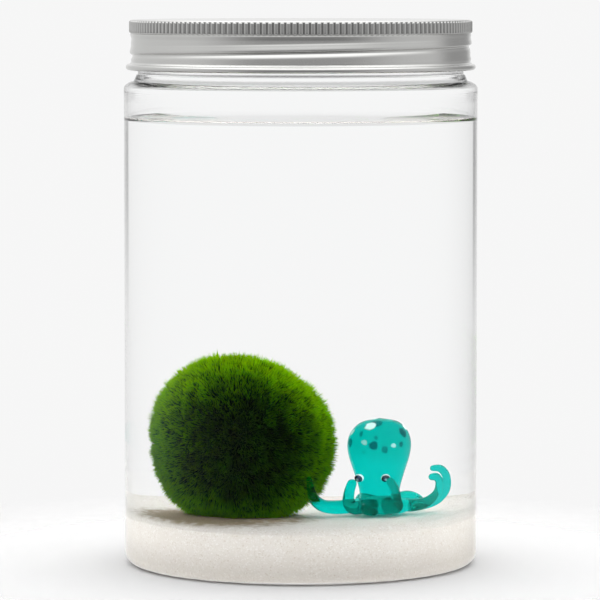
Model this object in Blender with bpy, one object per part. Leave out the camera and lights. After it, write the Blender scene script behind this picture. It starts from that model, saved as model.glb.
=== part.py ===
"""Marimo moss ball in its jar: water, white sand, a glass octopus and an aluminium screw lid.

The origin is on the jar's axis, in the plane of its foot. +Z is up and -Y is the front.
"""
import math

import bmesh
import bpy
from mathutils import Matrix, Vector

MM = 0.001
GAP = 0.3 * MM                    # clearance between neighbouring solids
SEGMENTS = 44                     # facets round every turned piece

# Jar: clear blown plastic with a turned-in neck
BODY_RADIUS = 42.5 * MM
BODY_WALL = 0.8 * MM
FOOT_RADIUS = 39.8 * MM           # outer edge of the ring the jar stands on
FOOT_INNER = 35.0 * MM
FOOT_RECESS = 0.8 * MM
FOOT_SLOPE = 1.4 * MM             # width of the slope from the ring up to the recess
HEEL_HEIGHT = 2.7 * MM
FLOOR_TOP = 1.6 * MM
INNER_HEEL = 2.5 * MM
SHOULDER_LOW = 114.3 * MM
SHOULDER_HIGH = 116.2 * MM
NECK_RING_RADIUS = 39.6 * MM
NECK_RING_RISE = 1.1 * MM         # height of the ring above the shoulder
NECK_RADIUS = 39.1 * MM
NECK_BORE = 38.0 * MM
RIM_HEIGHT = 129.0 * MM
RIM_BEVEL = 0.4 * MM
INNER_SHOULDER = ((0.0, 1.2), (0.8, 0.1))  # (in from the wall, below the shoulder), in mm

# Single right-handed screw thread, shared by the neck and the lid
THREAD_LEAD = 4.6 * MM            # rise in one turn
GROOVE_FRONT_HEIGHT = 123.5 * MM  # where a lid groove crosses the front
THREAD_LOW = 120.8 * MM
THREAD_HIGH = 126.9 * MM
THREAD_FADE = 0.9 * MM
THREAD_WIDTH = 0.75 * MM
RIDGE_HEIGHT = 0.6 * MM           # on the neck, outwards
GROOVE_DEPTH = 0.45 * MM          # in the lid, inwards
THREAD_ROWS = 9                   # rows of facets up the threaded band
THREAD_MARGIN = 0.2 * MM          # plain height above and below the thread
SAME_RADIUS = 0.05 * MM           # points this close to a radius belong to that wall

# Lid: thin pressed aluminium
LID_TOP = 130.9 * MM
LID_WALL = 0.5 * MM
KNURL_RADIUS = 41.2 * MM
KNURL_EDGE = 0.9 * MM
KNURL_LOW = 127.6 * MM
KNURL_STEP = 0.3 * MM
SKIRT_RADIUS = 40.75 * MM
BEAD_RADIUS = 0.72 * MM
BEAD_CENTRE = (41.3 * MM, 119.6 * MM)
LINER_RADIUS = 39.9 * MM

# What the jar holds
SAND_TOP = 13.6 * MM
WATER_TOP = 106.5 * MM
BALL_RADIUS = 18.7 * MM           # the dense body, without its loose fibres
BALL_PLACE = (-12.4 * MM, -15.3 * MM)
BALL_UNEVENNESS = 0.012
BALL_ROOM = 1.5 * GAP             # how far the water stays from the ball
OCTOPUS_ROOM = 1.2 * MM           # and from the octopus

# Glass octopus: head outline as (radius, height), arms as (x, y, z, radius), all in mm
HEAD_PLACE = (15.3 * MM, -9.0 * MM)
HEAD_OUTLINE = (
    (3.6, 14.2), (3.8, 16.4), (4.0, 19.2), (4.5, 21.6), (5.25, 24.4),
    (6.0, 27.2), (6.35, 29.8), (6.1, 32.0), (5.2, 34.0), (3.4, 35.7),
)
HEAD_TOP = 36.5
HEAD_SIDES = 16
WEB_CENTRE = (16.2, -9.6, 15.4)
WEB_RADII = (5.6, 5.8, 2.6)
ARMS = {
    "far_left": (
        (12.5, -9.5, 15.9, 1.6), (9.0, -11.5, 15.6, 1.7), (6.2, -13.6, 15.7, 1.65),
        (4.1, -17.0, 16.6, 1.45), (2.6, -21.0, 18.7, 1.15), (2.0, -24.4, 21.4, 0.85),
        (1.8, -26.3, 23.6, 0.65),
    ),
    "front_left": (
        (12.8, -11.5, 15.6, 1.7), (10.6, -14.2, 15.6, 1.6), (9.6, -15.2, 17.2, 1.25),
        (9.7, -15.0, 19.4, 1.1), (10.2, -14.3, 21.4, 1.0),
    ),
    "front_curl": (
        (14.0, -12.0, 15.7, 1.5), (13.2, -15.0, 15.6, 1.35), (13.6, -17.4, 15.3, 1.25),
        (15.0, -18.2, 15.0, 1.0),
    ),
    "front_right": (
        (17.6, -11.0, 15.7, 1.8), (19.2, -14.6, 15.8, 1.7), (19.6, -16.2, 17.4, 1.2),
        (19.3, -16.7, 19.8, 1.05), (18.4, -16.9, 22.0, 0.9),
    ),
    "near_right": (
        (18.5, -10.5, 15.8, 1.6), (22.5, -12.0, 15.7, 1.5), (25.8, -12.4, 16.4, 1.3),
        (28.3, -12.4, 18.4, 1.1), (28.9, -12.3, 20.9, 1.0), (28.2, -12.2, 22.3, 0.95),
        (27.0, -12.2, 22.4, 0.85),
    ),
    "far_right": (
        (19.0, -8.5, 15.8, 1.5), (23.5, -7.0, 15.5, 1.45), (26.8, -6.2, 16.5, 1.3),
        (28.9, -6.0, 18.9, 1.15), (29.0, -6.0, 21.8, 1.0), (27.6, -6.0, 23.7, 0.9),
        (25.9, -6.0, 23.9, 0.75),
    ),
    "back_left": (
        (14.0, -7.5, 16.4, 1.6), (12.0, -4.8, 17.0, 1.45), (11.4, -2.2, 15.9, 1.3),
        (12.6, 0.2, 14.9, 0.9),
    ),
    "back_right": (
        (17.8, -6.8, 16.4, 1.6), (20.2, -4.4, 17.1, 1.45), (21.8, -2.0, 15.9, 1.3),
        (21.0, 0.6, 14.9, 0.9),
    ),
}
ARM_STEPS = 2                     # rings between two of an arm's points
ARM_TIP = ((0.6, 0.8), (0.95, 0.35))  # (reach past the last point, radius) in tip radii
EYE_RADIUS = 0.95 * MM
EYE_HEIGHT = 22.6 * MM
EYE_ANGLES = {"octopus_eye_left": -128.0, "octopus_eye_right": -72.0}
EYE_HEAD_RADIUS = 4.75 * MM


def clear_scene():
    for old in list(bpy.data.objects):
        bpy.data.objects.remove(old, do_unlink=True)


def make_material(name, color, roughness, metallic=0.0, transmission=0.0):
    material = bpy.data.materials.new(name)
    material.use_nodes = True
    shader = material.node_tree.nodes["Principled BSDF"]
    shader.inputs["Base Color"].default_value = (*color, 1.0)
    shader.inputs["Roughness"].default_value = roughness
    shader.inputs["Metallic"].default_value = metallic
    shader.inputs["Transmission Weight"].default_value = transmission
    return material


def add_object(name, mesh, material=None):
    obj = bpy.data.objects.new(name, mesh)
    bpy.context.scene.collection.objects.link(obj)
    if material:
        obj.data.materials.append(material)
    return obj


def finish_bmesh(bm, name, material=None, smooth_angle=35.0):
    bmesh.ops.recalc_face_normals(bm, faces=bm.faces)
    mesh = bpy.data.meshes.new(name)
    bm.to_mesh(mesh)
    bm.free()
    mesh.shade_smooth()
    mesh.set_sharp_from_angle(angle=math.radians(smooth_angle))
    return add_object(name, mesh, material)


def arc(centre, radii, start, stop, steps):
    """Points on a quarter of an ellipse, from start to stop degrees, both ends included."""
    angles = [math.radians(start + (stop - start) * i / steps) for i in range(steps + 1)]
    return [
        (centre[0] + radii[0] * math.cos(a), centre[1] + radii[1] * math.sin(a)) for a in angles
    ]


def turn(profile):
    """Spin an outline of (radius, height) points round the Z axis and return its bmesh."""
    bm = bmesh.new()
    verts = [bm.verts.new((radius, 0.0, height)) for radius, height in profile]
    edges = [bm.edges.new(pair) for pair in zip(verts, verts[1:])]
    bmesh.ops.spin(
        bm, geom=verts + edges, cent=(0, 0, 0), axis=(0, 0, 1),
        angle=math.tau, steps=SEGMENTS, use_merge=True, use_duplicate=False,
    )
    bmesh.ops.remove_doubles(bm, verts=bm.verts, dist=0.00001)
    return bm


def fade(height):
    """1 inside the threaded band, running out smoothly at both of its ends."""
    rise = min(max((height - THREAD_LOW) / THREAD_FADE, 0.0), 1.0)
    fall = min(max((THREAD_HIGH - height) / THREAD_FADE, 0.0), 1.0)
    return rise * fall


def thread_wave(x, y, height, shift):
    """1 on the crest of the helix, 0 between its turns; shift moves it up by part of the lead."""
    turns_from_front = math.atan2(y, x) / math.tau + 0.25
    crest = GROOVE_FRONT_HEIGHT + THREAD_LEAD * (turns_from_front + shift)
    away = (height - crest + THREAD_LEAD / 2) % THREAD_LEAD - THREAD_LEAD / 2
    return fade(height) * math.exp(-((away / THREAD_WIDTH) ** 2))


def press_thread(bm, depth, shift, radius_low, radius_high):
    """Move the points between two radii in or out along the helix."""
    for vert in bm.verts:
        radius = math.hypot(vert.co.x, vert.co.y)
        if radius_low < radius < radius_high:
            moved = radius + depth * thread_wave(vert.co.x, vert.co.y, vert.co.z, shift)
            vert.co.x *= moved / radius
            vert.co.y *= moved / radius


def thread_rows(radius, low, high, rows):
    """Evenly spaced rows up a cylinder, where the thread is formed."""
    return [(radius, low + (high - low) * i / rows) for i in range(rows + 1)]


def make_jar():
    clear_plastic = make_material("clear_plastic", (0.95, 0.97, 0.97), 0.03, transmission=1.0)
    heel_width = BODY_RADIUS - FOOT_RADIUS
    inner = BODY_RADIUS - BODY_WALL
    outside = [(0.0, FOOT_RECESS), (FOOT_INNER - FOOT_SLOPE, FOOT_RECESS), (FOOT_INNER, 0.0)]
    outside += arc((FOOT_RADIUS, HEEL_HEIGHT), (heel_width, HEEL_HEIGHT), -90, 0, 3)
    shoulder_width = BODY_RADIUS - NECK_RING_RADIUS
    shoulder_rise = SHOULDER_HIGH - SHOULDER_LOW
    outside += arc((NECK_RING_RADIUS, SHOULDER_LOW), (shoulder_width, shoulder_rise), 0, 90, 3)
    ring_top = SHOULDER_HIGH + NECK_RING_RISE
    ring_step = NECK_RING_RADIUS - NECK_RADIUS
    outside += [(NECK_RING_RADIUS, ring_top), (NECK_RADIUS, ring_top + ring_step)]
    outside += thread_rows(
        NECK_RADIUS, THREAD_LOW - THREAD_MARGIN, THREAD_HIGH + THREAD_MARGIN, THREAD_ROWS)
    outside += [(NECK_RADIUS, RIM_HEIGHT - RIM_BEVEL), (NECK_RADIUS - RIM_BEVEL, RIM_HEIGHT)]
    inside = [(NECK_BORE, RIM_HEIGHT), (NECK_BORE, SHOULDER_HIGH - BODY_WALL)]
    for inward, below in reversed(INNER_SHOULDER):
        inside.append((inner - inward * MM, SHOULDER_LOW - below * MM))
    inside += arc((inner - INNER_HEEL, FLOOR_TOP + INNER_HEEL), (INNER_HEEL, INNER_HEEL), 0, -90, 3)
    inside += [(0.0, FLOOR_TOP)]
    bm = turn(outside + inside)
    press_thread(bm, RIDGE_HEIGHT, 0.5, NECK_RADIUS - SAME_RADIUS, NECK_RADIUS + SAME_RADIUS)
    return finish_bmesh(bm, "jar", clear_plastic)


def make_lid():
    aluminium = make_material("brushed_aluminium", (0.62, 0.62, 0.60), 0.35, metallic=1.0)
    bore = SKIRT_RADIUS - LID_WALL
    bead_r, bead_z = BEAD_CENTRE
    skirt_low, skirt_high = THREAD_LOW - THREAD_MARGIN, THREAD_HIGH + THREAD_MARGIN
    outside = [(0.0, LID_TOP)]
    outside += arc(
        (KNURL_RADIUS - KNURL_EDGE, LID_TOP - KNURL_EDGE), (KNURL_EDGE, KNURL_EDGE), 90, 0, 2)
    outside += [(KNURL_RADIUS, KNURL_LOW), (SKIRT_RADIUS, KNURL_LOW - KNURL_STEP)]
    outside += thread_rows(SKIRT_RADIUS, skirt_high, skirt_low, THREAD_ROWS)
    outside += arc((bead_r, bead_z), (BEAD_RADIUS, BEAD_RADIUS), 75, -90, 4)
    inside = [(bore, bead_z - BEAD_RADIUS)]
    inside += thread_rows(bore, skirt_low, skirt_high, THREAD_ROWS)
    inside += [(bore, LID_TOP - LID_WALL), (0.0, LID_TOP - LID_WALL)]
    bm = turn(outside + inside)
    press_thread(bm, -GROOVE_DEPTH, 0.0, bore - SAME_RADIUS, SKIRT_RADIUS + SAME_RADIUS)
    return finish_bmesh(bm, "lid", aluminium)


def make_liner():
    foam = make_material("white_foam", (0.9, 0.9, 0.88), 0.8)
    low = RIM_HEIGHT + GAP
    high = LID_TOP - LID_WALL - GAP
    profile = [(0.0, high), (LINER_RADIUS, high), (LINER_RADIUS, low), (0.0, low)]
    return finish_bmesh(turn(profile), "lid_liner", foam)


def make_sand():
    white_sand = make_material("white_sand", (0.80, 0.77, 0.72), 0.9)
    radius = BODY_RADIUS - BODY_WALL - GAP
    low = FLOOR_TOP + GAP
    profile = [(0.0, SAND_TOP), (radius, SAND_TOP)]
    profile += arc((radius - INNER_HEEL, low + INNER_HEEL), (INNER_HEEL, INNER_HEEL), 0, -90, 3)
    profile += [(0.0, low)]
    return finish_bmesh(turn(profile), "sand", white_sand)


def lumpy_ball(radius, centre, unevenness):
    """A round ball with broad shallow swellings, as a rolled tuft of algae has."""
    bm = bmesh.new()
    bmesh.ops.create_icosphere(bm, subdivisions=3, radius=radius)
    for vert in bm.verts:
        x, y, z = vert.co / radius
        swell = math.sin(2.3 * x + 1.1) * math.cos(2.9 * z - 0.4) + 0.6 * math.sin(3.7 * y + 2.1 * z)
        vert.co *= 1 + unevenness * (swell - 0.8)
    bmesh.ops.translate(bm, verts=bm.verts, vec=centre)
    return bm


def make_marimo():
    moss = make_material("green_moss", (0.05, 0.16, 0.01), 0.9)
    centre = (*BALL_PLACE, SAND_TOP + GAP + BALL_RADIUS)
    return finish_bmesh(lumpy_ball(BALL_RADIUS, centre, BALL_UNEVENNESS), "marimo", moss)


def smooth_route(points, steps):
    """A Catmull-Rom curve through points of any length, steps pieces between two of them."""
    last = len(points) - 1
    route = []
    for i in range(last):
        p0, p1, p2, p3 = (points[min(max(k, 0), last)] for k in (i - 1, i, i + 1, i + 2))
        for s in range(steps):
            t = s / steps
            route.append(tuple(
                0.5 * (2 * b + (c - a) * t + (2 * a - 5 * b + 4 * c - d) * t * t
                       + (3 * b - a - 3 * c + d) * t ** 3)
                for a, b, c, d in zip(p0, p1, p2, p3)))
    route.append(tuple(points[last]))
    return route


def make_arm(name, points):
    """A tapering arm with a round tip, as a closed mesh that a union can take."""
    curve = bpy.data.curves.new(name, "CURVE")
    curve.dimensions = "3D"
    curve.bevel_depth = MM
    curve.bevel_resolution = 2
    curve.use_fill_caps = True
    route = smooth_route(points, ARM_STEPS)
    before, tip = Vector(route[-2][:3]), Vector(route[-1][:3])
    tip_radius = route[-1][3]
    ahead = (tip - before).normalized()
    for reach, share in ARM_TIP:
        route.append((*(tip + ahead * tip_radius * reach), tip_radius * share))
    spline = curve.splines.new("POLY")
    spline.points.add(len(route) - 1)
    for point, (x, y, z, radius) in zip(spline.points, route):
        point.co = (x * MM, y * MM, z * MM, 1.0)
        point.radius = radius
    guide = add_object(name, curve)
    bpy.context.view_layer.update()
    mesh = bpy.data.meshes.new_from_object(guide.evaluated_get(bpy.context.evaluated_depsgraph_get()))
    bpy.data.objects.remove(guide, do_unlink=True)
    arm = add_object(name, mesh)
    hide_guide(arm)
    return arm


def hide_guide(obj):
    obj.hide_render = True
    obj.display_type = "WIRE"


def join_shape(target, other, operation="UNION"):
    cut = target.modifiers.new(other.name, "BOOLEAN")
    cut.operation = operation
    cut.solver = "EXACT"
    cut.object = other


def make_web():
    """The low dome of glass that the arms grow out of."""
    bm = bmesh.new()
    bmesh.ops.create_uvsphere(bm, u_segments=HEAD_SIDES, v_segments=8, radius=MM)
    bmesh.ops.scale(bm, vec=WEB_RADII, verts=bm.verts)
    bmesh.ops.translate(bm, vec=Vector(WEB_CENTRE) * MM, verts=bm.verts)
    web = finish_bmesh(bm, "octopus_web")
    hide_guide(web)
    return web


def make_floor_cutter():
    """Takes away whatever hangs lower than the octopus's flat underside."""
    bm = bmesh.new()
    bmesh.ops.create_cube(bm, size=2 * BODY_RADIUS)
    bmesh.ops.translate(bm, vec=(0, 0, SAND_TOP + GAP - BODY_RADIUS), verts=bm.verts)
    cutter = finish_bmesh(bm, "octopus_underside")
    hide_guide(cutter)
    return cutter


def make_octopus():
    glass = make_material("turquoise_glass", (0.0, 0.60, 0.54), 0.05, transmission=1.0)
    bm = bmesh.new()
    rings = []
    for radius, height in HEAD_OUTLINE:
        circle = bmesh.ops.create_circle(
            bm, segments=HEAD_SIDES, radius=radius * MM,
            matrix=Matrix.Translation((0, 0, height * MM)))
        rings.append(circle["verts"])
    for low, high in zip(rings, rings[1:]):
        for i in range(HEAD_SIDES):
            j = (i + 1) % HEAD_SIDES
            bm.faces.new((low[i], low[j], high[j], high[i]))
    bm.faces.new(reversed(rings[0]))
    top = bm.verts.new((0, 0, HEAD_TOP * MM))
    for i in range(HEAD_SIDES):
        bm.faces.new((rings[-1][i], rings[-1][(i + 1) % HEAD_SIDES], top))
    bmesh.ops.translate(bm, vec=(*HEAD_PLACE, 0), verts=bm.verts)
    octopus = finish_bmesh(bm, "octopus", glass)
    join_shape(octopus, make_web())
    for name, points in ARMS.items():
        join_shape(octopus, make_arm("octopus_arm_" + name, points))
    join_shape(octopus, make_floor_cutter(), "DIFFERENCE")
    return octopus


def make_eyes():
    dark_glass = make_material("dark_blue_glass", (0.01, 0.03, 0.06), 0.1)
    reach = EYE_HEAD_RADIUS + GAP + EYE_RADIUS
    for name, angle in EYE_ANGLES.items():
        outward = Vector((math.cos(math.radians(angle)), math.sin(math.radians(angle)), 0))
        bm = bmesh.new()
        bmesh.ops.create_uvsphere(bm, u_segments=12, v_segments=8, radius=EYE_RADIUS)
        place = Vector((*HEAD_PLACE, EYE_HEIGHT)) + outward * reach
        bmesh.ops.translate(bm, vec=place, verts=bm.verts)
        finish_bmesh(bm, name, dark_glass)


def make_hull_cutter(octopus):
    """The convex outline of the octopus and its eyes, grown a little, as room in the water."""
    evaluated = octopus.evaluated_get(bpy.context.evaluated_depsgraph_get())
    mesh = bpy.data.meshes.new_from_object(evaluated)
    middle = sum((v.co for v in mesh.vertices), Vector()) / len(mesh.vertices)
    bm = bmesh.new()
    for vert in mesh.vertices:
        bm.verts.new(vert.co + (vert.co - middle).normalized() * OCTOPUS_ROOM)
    hull = bmesh.ops.convex_hull(bm, input=bm.verts)
    bmesh.ops.delete(bm, geom=hull["geom_interior"], context="VERTS")
    bmesh.ops.dissolve_limit(bm, angle_limit=math.radians(8), verts=bm.verts, edges=bm.edges)
    bmesh.ops.triangulate(bm, faces=bm.faces)
    cutter = finish_bmesh(bm, "water_octopus_room")
    hide_guide(cutter)
    return cutter


def make_water(octopus):
    clear_water = make_material("clear_water", (0.95, 0.98, 0.98), 0.0, transmission=1.0)
    radius = BODY_RADIUS - BODY_WALL - GAP
    low = SAND_TOP + GAP
    profile = [(0.0, WATER_TOP), (radius, WATER_TOP), (radius, low), (0.0, low)]
    water = finish_bmesh(turn(profile), "water", clear_water)
    room = finish_bmesh(
        lumpy_ball(BALL_RADIUS + BALL_ROOM, (*BALL_PLACE, low + BALL_RADIUS), BALL_UNEVENNESS),
        "water_ball_room")
    hide_guide(room)
    join_shape(water, room, "DIFFERENCE")
    join_shape(water, make_hull_cutter(octopus), "DIFFERENCE")
    return water


def build():
    clear_scene()
    make_jar()
    make_lid()
    make_liner()
    make_sand()
    make_marimo()
    octopus = make_octopus()
    make_eyes()
    bpy.context.view_layer.update()
    make_water(octopus)


build()
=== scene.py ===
import math

import bmesh
import bpy
from mathutils import Matrix, Vector, noise


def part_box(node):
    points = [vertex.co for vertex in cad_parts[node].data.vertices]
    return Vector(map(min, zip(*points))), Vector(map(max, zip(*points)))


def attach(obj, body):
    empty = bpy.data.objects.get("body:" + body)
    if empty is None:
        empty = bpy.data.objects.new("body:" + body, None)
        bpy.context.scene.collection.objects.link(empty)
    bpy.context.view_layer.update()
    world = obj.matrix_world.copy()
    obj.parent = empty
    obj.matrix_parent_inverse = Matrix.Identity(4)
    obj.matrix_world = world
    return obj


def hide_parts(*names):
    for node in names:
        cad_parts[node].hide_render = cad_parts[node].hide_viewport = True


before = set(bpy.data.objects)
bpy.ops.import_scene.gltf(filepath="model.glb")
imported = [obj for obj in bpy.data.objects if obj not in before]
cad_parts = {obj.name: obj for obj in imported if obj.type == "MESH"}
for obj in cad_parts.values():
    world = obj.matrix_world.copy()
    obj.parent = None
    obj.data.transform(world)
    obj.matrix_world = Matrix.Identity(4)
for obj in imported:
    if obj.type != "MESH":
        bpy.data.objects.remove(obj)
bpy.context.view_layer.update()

# Outlines and places are in millimetres here, and meshes are made in metres.
mm = 0.001
scene = bpy.context.scene
print("frame loaded:", ", ".join(sorted(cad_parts)))


class Wire:
    # an output socket that takes part in sums, as in 1 - mask or place * 3

    def __init__(self, board, socket):
        self.board = board
        self.socket = socket

    def work(self, operation, *others, reflected=False, out=0):
        terms = [*others, self] if reflected else [self, *others]
        vector = any(isVector(term) for term in terms)
        kind = "ShaderNodeVectorMath" if vector else "ShaderNodeMath"
        return self.board.add(kind, {"operation": operation}, dict(enumerate(terms)), out)

    def __add__(self, other):
        return self.work("ADD", other)

    def __sub__(self, other):
        return self.work("SUBTRACT", other)

    def __rsub__(self, other):
        return self.work("SUBTRACT", other, reflected=True)

    def __mul__(self, other):
        return self.work("MULTIPLY", other)

    def __truediv__(self, other):
        return self.work("DIVIDE", other)

    def __pow__(self, other):
        return self.work("POWER", other)

    def __neg__(self):
        return self.work("MULTIPLY", -1.0)

    __radd__ = __add__
    __rmul__ = __mul__

    def length(self):
        return self.work("LENGTH", out=1)

    def within(self, low, high):
        # 0 below low, 1 above high, smooth between
        return self.board.add("ShaderNodeMapRange", {"interpolation_type": "SMOOTHSTEP"},
                              {"Value": self, "From Min": low, "From Max": high})

    def split(self):
        parts = self.board.add("ShaderNodeSeparateXYZ", {}, {0: self}).socket.node
        return [Wire(self.board, part) for part in parts.outputs]


def isVector(value):
    if isinstance(value, Wire):
        return value.socket.type in {"VECTOR", "RGBA"}
    return hasattr(value, "__len__")


class Board:
    # a shader or geometry tree; add() makes any node and hands back one output

    def __init__(self, tree):
        self.tree = tree

    def add(self, kind, settings=None, inputs=None, out=0):
        node = self.tree.nodes.new(kind)
        for name, value in (settings or {}).items():
            setattr(node, name, value)
        for key, value in (inputs or {}).items():
            self.feed(node.inputs[key], value)
        return Wire(self, node.outputs[out]) if len(node.outputs) else node

    def feed(self, socket, value):
        if isinstance(value, Wire):
            self.tree.links.new(value.socket, socket)
        elif socket.type == "VECTOR" and not hasattr(value, "__len__"):
            socket.default_value = (value,) * 3
        elif socket.type == "RGBA" and len(value) == 3:
            socket.default_value = (*value, 1.0)
        else:
            socket.default_value = value

    def ramp(self, factor, stops):
        # a run of colours through (place, colour) stops
        color = self.add("ShaderNodeValToRGB", {}, {0: factor})
        elements = color.socket.node.color_ramp.elements
        while len(elements) < len(stops):
            elements.new(0.5)
        for element, (place, shade) in zip(elements, stops):
            element.position = place
            element.color = (*shade, 1.0)
        return color

    def mixColor(self, factor, first, second):
        return self.add("ShaderNodeMix", {"data_type": "RGBA"}, {0: factor, 6: first, 7: second}, 2)

    def noise(self, place, scale, detail=2.0, out=0):
        inputs = {"Vector": place, "Scale": scale, "Detail": detail}
        return self.add("ShaderNodeTexNoise", {}, inputs, out)

    def vector(self, x=0.0, y=0.0, z=0.0):
        return self.add("ShaderNodeCombineXYZ", {}, {0: x, 1: y, 2: z})

    def principled(self, **inputs):
        return self.add("ShaderNodeBsdfPrincipled", {}, {
            name.replace("_", " "): value for name, value in inputs.items()})

    def here(self):
        return self.add("ShaderNodeTexCoord", {}, {}, "Object")

    def ray(self, fact):
        return self.add("ShaderNodeLightPath", {}, {}, fact)

    def bump(self, height, strength, distance, invert=False):
        return self.add("ShaderNodeBump", {"invert": invert}, {
            "Strength": strength, "Distance": distance, "Height": height})

    def mixShader(self, factor, first, second):
        return self.add("ShaderNodeMixShader", {}, {0: factor, 1: first, 2: second})

    def random(self, low, high, seed):
        kind, first = ("FLOAT_VECTOR", 0) if isVector(low) else ("FLOAT", 2)
        return self.add("FunctionNodeRandomValue", {"data_type": kind}, {
            first: low, first + 1: high, "Seed": seed}, first // 2)

    def copies(self, points, shape, turn, size=1.0):
        # the shape's geometry at every point
        source = self.add("GeometryNodeObjectInfo", {}, {"Object": shape}, "Geometry")
        return self.add("GeometryNodeInstanceOnPoints", {}, {
            "Points": points, "Instance": source, "Rotation": turn, "Scale": size})


def between(low, high, share):
    # works on numbers and on wires
    return low + (high - low) * share


def inMetres(sizes):
    return tuple(size * mm for size in sizes)


def newMaterial(name):
    material = bpy.data.materials.new(name)
    material.use_nodes = True
    material.node_tree.nodes.clear()
    return material, Board(material.node_tree)


def finishMaterial(board, surface=None, **inputs):
    # ends the material with this surface, or with a principled one of these inputs
    surface = surface or board.principled(**inputs)
    board.add("ShaderNodeOutputMaterial", {}, {"Surface": surface})


def newGeometryTree(name, sizes):
    # a tree with its Geometry in and out, and one named input for each size
    tree = bpy.data.node_groups.new(name, "GeometryNodeTree")
    tree.interface.new_socket("Geometry", in_out="INPUT", socket_type="NodeSocketGeometry")
    tree.interface.new_socket("Geometry", in_out="OUTPUT", socket_type="NodeSocketGeometry")
    kinds = {float: "Float", int: "Int", tuple: "Vector",
             bpy.types.Object: "Object", bpy.types.Material: "Material"}
    for label, value in sizes.items():
        socketType = "NodeSocket" + kinds[type(value)]
        tree.interface.new_socket(label, in_out="INPUT", socket_type=socketType)
    board = Board(tree)
    source = tree.nodes.new("NodeGroupInput")
    inputs = {socket.name: Wire(board, socket) for socket in source.outputs if socket.name}
    return board, inputs


def endGeometryTree(board, geometry, material, only=True):
    # instances become real faces, because nothing else is kept with the piece
    real = board.add("GeometryNodeRealizeInstances", {}, {0: geometry})
    dressed = board.add("GeometryNodeSetMaterial", {}, {
        "Geometry": real, "Selection": only, "Material": material})
    board.add("NodeGroupOutput", {}, {"Geometry": dressed})
    return board


def readMesh(piece):
    # a plain mesh of what the piece's modifiers make
    bpy.context.view_layer.update()
    return bpy.data.meshes.new_from_object(piece.evaluated_get(bpy.context.evaluated_depsgraph_get()))


def runGeometryTree(piece, board, sizes, name=None):
    # gives the tree its sizes, reads the result as a plain mesh, and takes the modifier off
    modifier = piece.modifiers.new("shape", "NODES")
    modifier.node_group = board.tree
    for item in board.tree.interface.items_tree:
        if item.in_out == "INPUT" and item.name in sizes:
            modifier[item.identifier] = sizes[item.name]
    mesh = readMesh(piece)
    piece.modifiers.remove(modifier)
    if name is None:
        piece.data = mesh
        return piece
    return addPiece(name, mesh)


def addPiece(name, mesh, *materials):
    # the camera comes in this way too
    piece = bpy.data.objects.new(name, mesh)
    scene.collection.objects.link(piece)
    for material in materials:
        mesh.materials.append(material)
    return piece


def discard(*pieces):
    for piece in pieces:
        bpy.data.objects.remove(piece)


def settle(piece, body, slot, *replaced):
    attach(piece, body)
    if replaced:
        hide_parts(*replaced)
    print(f"  {piece.name}: {len(piece.data.polygons)} faces")


def arc(centre, radii, start, stop, steps):
    # points on an ellipse's arc, from start to stop degrees
    angles = [math.radians(between(start, stop, i / steps)) for i in range(steps + 1)]
    return [(centre[0] + radii[0] * math.cos(a), centre[1] + radii[1] * math.sin(a)) for a in angles]


def ladder(radius, low, high, steps):
    # evenly spaced rows on a straight wall
    return [(radius, between(low, high, i / steps)) for i in range(steps + 1)]


def faceOut(bm):
    bmesh.ops.recalc_face_normals(bm, faces=bm.faces)


def skin(bm, rings):
    # faces between closed rings of points, and one over each end
    for low, high in zip(rings, rings[1:]):
        for i in range(len(low)):
            j = (i + 1) % len(low)
            bm.faces.new((low[i], low[j], high[j], high[i]))
    bm.faces.new(rings[0])
    bm.faces.new(rings[-1])


def turned(name, outline, steps, slotOf=None, sharp=40.0):
    # spins an outline of (radius, height) round the jar's axis into a closed skin
    bm = bmesh.new()
    rings = []
    for radius, height in outline:
        count = steps if radius > 1e-6 else 1
        angles = [math.tau * i / count for i in range(count)]
        rings.append([bm.verts.new((radius * mm * math.cos(a), radius * mm * math.sin(a), height * mm))
                      for a in angles])
    for row, (low, high) in enumerate(zip(rings, rings[1:])):
        for i in range(steps):
            corners = [low[i % len(low)], low[(i + 1) % len(low)],
                       high[(i + 1) % len(high)], high[i % len(high)]]
            face = bm.faces.new(list(dict.fromkeys(corners)))
            face.material_index = slotOf(row) if slotOf else 0
    faceOut(bm)
    return finishShape(bm, name, sharp)


def finishShape(bm, name, sharp=40.0):
    mesh = bpy.data.meshes.new(name)
    bm.to_mesh(mesh)
    bm.free()
    mesh.shade_smooth()
    mesh.set_sharp_from_angle(angle=math.radians(sharp))
    return mesh


def smoothRoute(points, steps):
    # a Catmull-Rom curve through points of any length
    last = len(points) - 1
    route = []
    for i in range(last):
        p0, p1, p2, p3 = (points[min(max(k, 0), last)] for k in (i - 1, i, i + 1, i + 2))
        for s in range(steps):
            t = s / steps
            route.append(tuple(
                0.5 * (2 * b + (c - a) * t + (2 * a - 5 * b + 4 * c - d) * t * t
                       + (3 * b - a - 3 * c + d) * t ** 3)
                for a, b, c, d in zip(p0, p1, p2, p3)))
    route.append(tuple(points[last]))
    return route


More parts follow.
